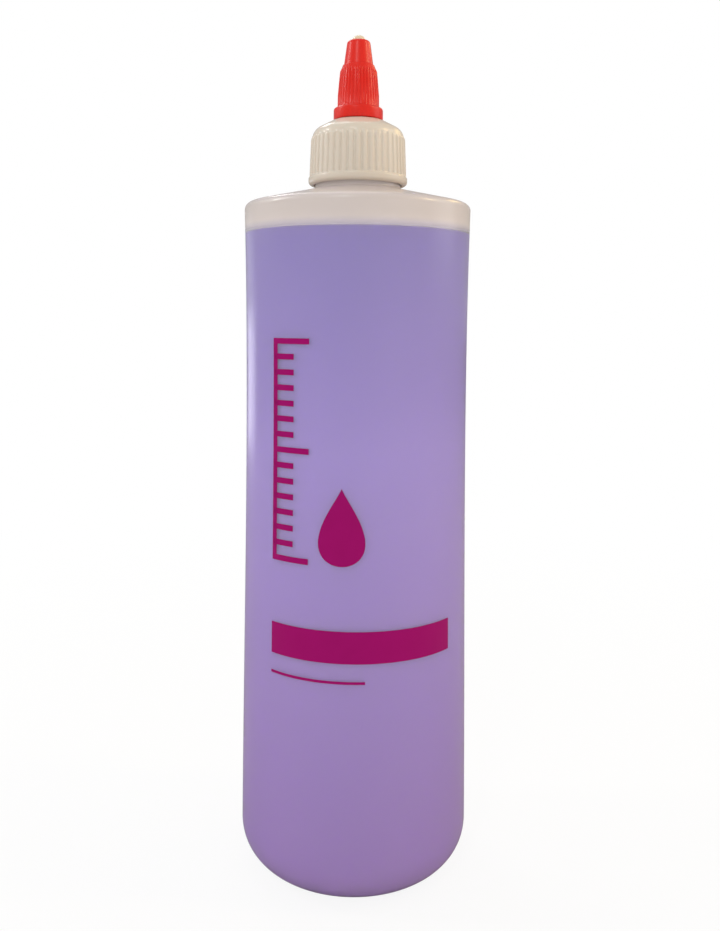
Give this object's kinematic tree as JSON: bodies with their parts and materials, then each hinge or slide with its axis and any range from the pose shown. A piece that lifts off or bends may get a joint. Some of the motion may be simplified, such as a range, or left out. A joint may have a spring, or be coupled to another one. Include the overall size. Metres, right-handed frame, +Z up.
{
  "type": "twist-top oil bottle",
  "caption": "Translucent cylindrical squeeze bottle filled with lilac oil, with a white ribbed screw cap and a red twist-open spout.",
  "frame": {"origin": "centre of the standing ring, on the surface that the bottle stands on", "axes": "+Z up along the bottle's axis; -Y is the printed front that faces the camera"},
  "size_m": [0.0642, 0.0642, 0.2329],
  "materials": {
    "natural_hdpe": "natural blow-moulded HDPE, translucent and satin",
    "lilac_oil": "clear lilac oil",
    "liner_foam": "soft white polyethylene foam",
    "white_cap": "moulded white polypropylene, satin gloss",
    "soft_seal": "soft natural polyethylene",
    "red_spout": "moulded red polyethylene, satin gloss"
  },
  "bodies": {
    "bottle": {"bottle": "natural_hdpe", "oil_fill": "lilac_oil"},
    "liner": {"cap_liner": "liner_foam"},
    "cap": {"base_cap": "white_cap"},
    "seal": {"spout_seal": "soft_seal"},
    "spout": {"twist_spout": "red_spout"}
  },
  "joints": [
    {"name": "cap_rise", "type": "slide", "parent": "bottle", "child": "liner", "axis": [0, 0, 1], "range_m": [0, 0.00476]},
    {"name": "cap_turn", "type": "hinge", "parent": "liner", "child": "cap", "pos_m": [0, 0, 0.18995], "axis": [0, 0, 1], "range_deg": [0, 540.5]},
    {"name": "spout_rise", "type": "slide", "parent": "cap", "child": "seal", "axis": [0, 0, 1], "range_m": [0, 0.003]},
    {"name": "spout_turn", "type": "hinge", "parent": "seal", "child": "spout", "pos_m": [0, 0, 0.20855], "axis": [0, 0, 1], "range_deg": [0, 180.5]}
  ],
  "couplings": [
    {"joint": "cap_turn", "follows": "cap_rise", "rad_per_m": 1979},
    {"joint": "spout_turn", "follows": "spout_rise", "rad_per_m": 1047.2}
  ]
}
